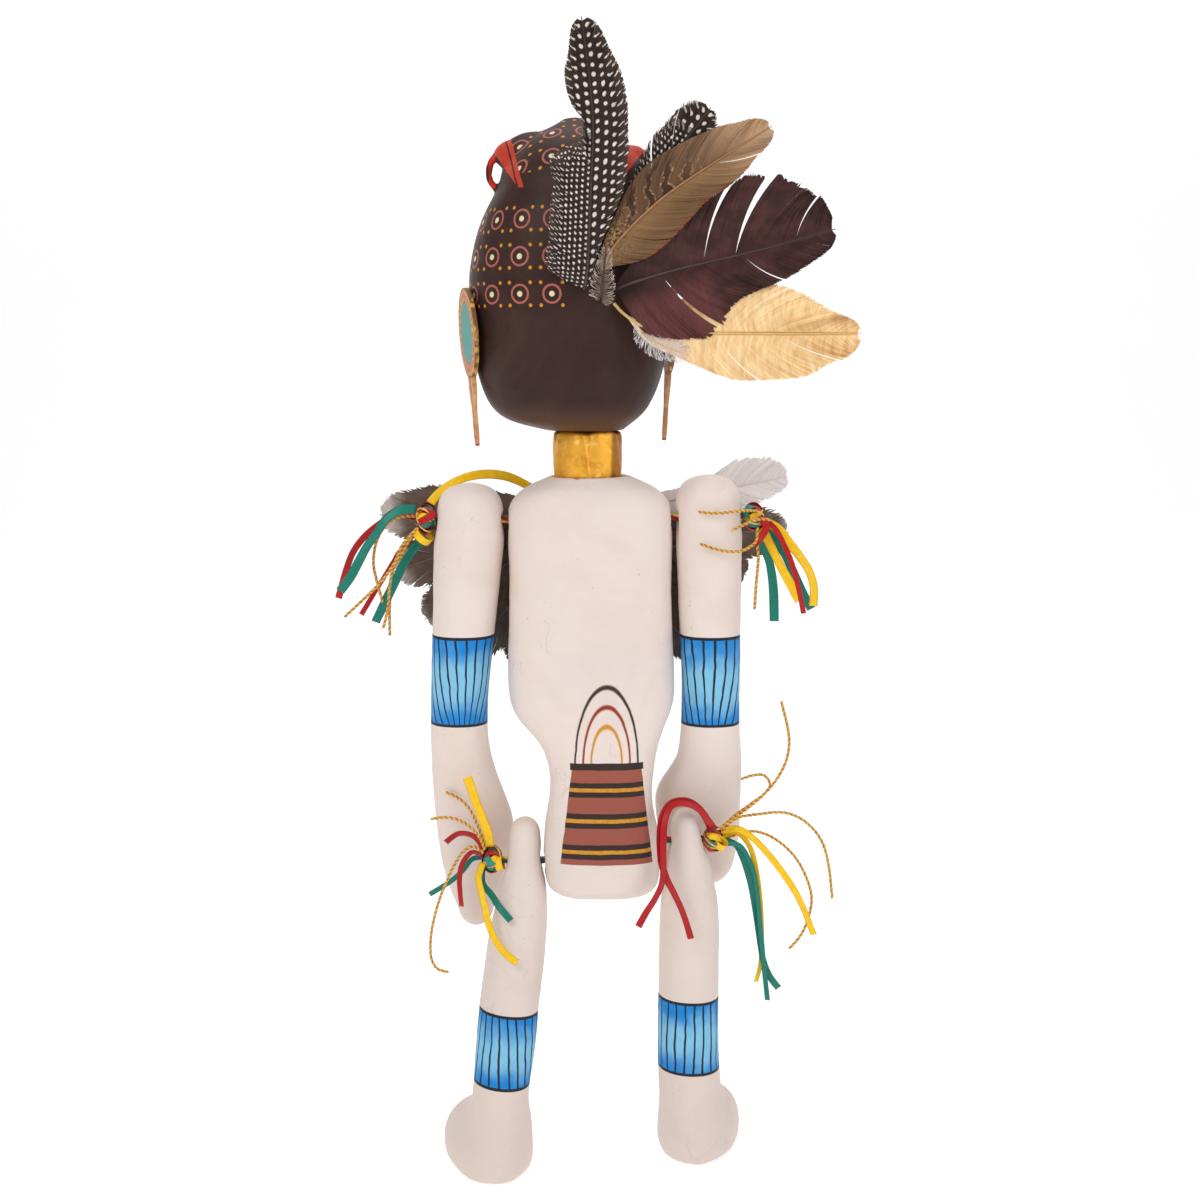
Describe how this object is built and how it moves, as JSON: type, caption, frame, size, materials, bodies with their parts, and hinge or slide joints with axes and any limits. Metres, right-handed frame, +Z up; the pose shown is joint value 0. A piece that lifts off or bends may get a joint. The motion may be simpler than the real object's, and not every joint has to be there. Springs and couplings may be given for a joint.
{
  "type": "papier-mache skeleton figure",
  "caption": "Standing papier-mache skeleton figure with a dark plumed head, gilded neck, painted back, feather collar and limbs tied on with ribbons and gold cords.",
  "frame": {"origin": "on the floor, below the middle of the box of the figure without its free ribbons", "axes": "+Z up, +Y the way the face looks, +X to the right of a viewer behind the figure"},
  "size_m": [0.308, 0.1496, 0.6811],
  "materials": {
    "cream_paint": "matt white paint over papier-mache, hairline cracks",
    "dark_paint": "satin dark brown paint over papier-mache",
    "gilt_paper": "gold leaf over crumpled paper, semi-gloss",
    "card_paint": "painted card, matt",
    "guinea_feather": "dark feather with white spots",
    "pheasant_feather": "mottled brown feather",
    "burgundy_feather": "dyed burgundy feather, satin",
    "gold_feather": "gold-painted feather, soft metallic",
    "down_feather": "soft grey-brown down",
    "collar_feather": "grey-brown and white feathers",
    "ribbon_knot": "knotted satin ribbons and cords",
    "green_ribbon": "satin",
    "red_ribbon": "satin",
    "yellow_ribbon": "satin",
    "gold_cord": "twisted metallic cord"
  },
  "bodies": {
    "root": {"arm_left": "cream_paint", "arm_right": "cream_paint", "ear_ornament_left": "card_paint", "ear_ornament_right": "card_paint", "feather_collar": "collar_feather", "head": "dark_paint", "hip_left_gold_1": "gold_cord", "hip_left_gold_2": "gold_cord", "hip_left_gold_3": "gold_cord", "hip_left_green_1": "green_ribbon", "hip_left_green_2": "green_ribbon", "hip_left_red_1": "red_ribbon", "hip_left_red_2": "red_ribbon", "hip_left_yellow_1": "yellow_ribbon", "hip_left_yellow_2": "yellow_ribbon", "hip_right_gold_1": "gold_cord", "hip_right_gold_2": "gold_cord", "hip_right_gold_3": "gold_cord", "hip_right_gold_4": "gold_cord", "hip_right_green_1": "green_ribbon", "hip_right_green_2": "green_ribbon", "hip_right_red_1": "red_ribbon", "hip_right_red_2": "red_ribbon", "hip_right_yellow_1": "yellow_ribbon", "hip_right_yellow_2": "yellow_ribbon", "leg_left": "cream_paint", "leg_right": "cream_paint", "neck": "gilt_paper", "plume_burgundy": "burgundy_feather", "plume_down": "down_feather", "plume_gold": "gold_feather", "plume_guinea_short": "guinea_feather", "plume_guinea_tall": "guinea_feather", "plume_pheasant": "pheasant_feather", "shoulder_left_gold_1": "gold_cord", "shoulder_left_gold_2": "gold_cord", "shoulder_left_gold_3": "gold_cord", "shoulder_left_gold_4": "gold_cord", "shoulder_left_green_1": "green_ribbon", "shoulder_left_green_2": "green_ribbon", "shoulder_left_red_1": "red_ribbon", "shoulder_left_red_2": "red_ribbon", "shoulder_left_yellow_1": "yellow_ribbon", "shoulder_right_gold_1": "gold_cord", "shoulder_right_gold_2": "gold_cord", "shoulder_right_gold_3": "gold_cord", "shoulder_right_green_1": "green_ribbon", "shoulder_right_green_2": "green_ribbon", "shoulder_right_red_1": "red_ribbon", "shoulder_right_yellow_1": "yellow_ribbon", "shoulder_right_yellow_2": "yellow_ribbon", "tie_hip_left": "ribbon_knot", "tie_hip_right": "ribbon_knot", "tie_shoulder_left": "ribbon_knot", "tie_shoulder_right": "ribbon_knot", "torso": "cream_paint"}
  },
  "joints": []
}
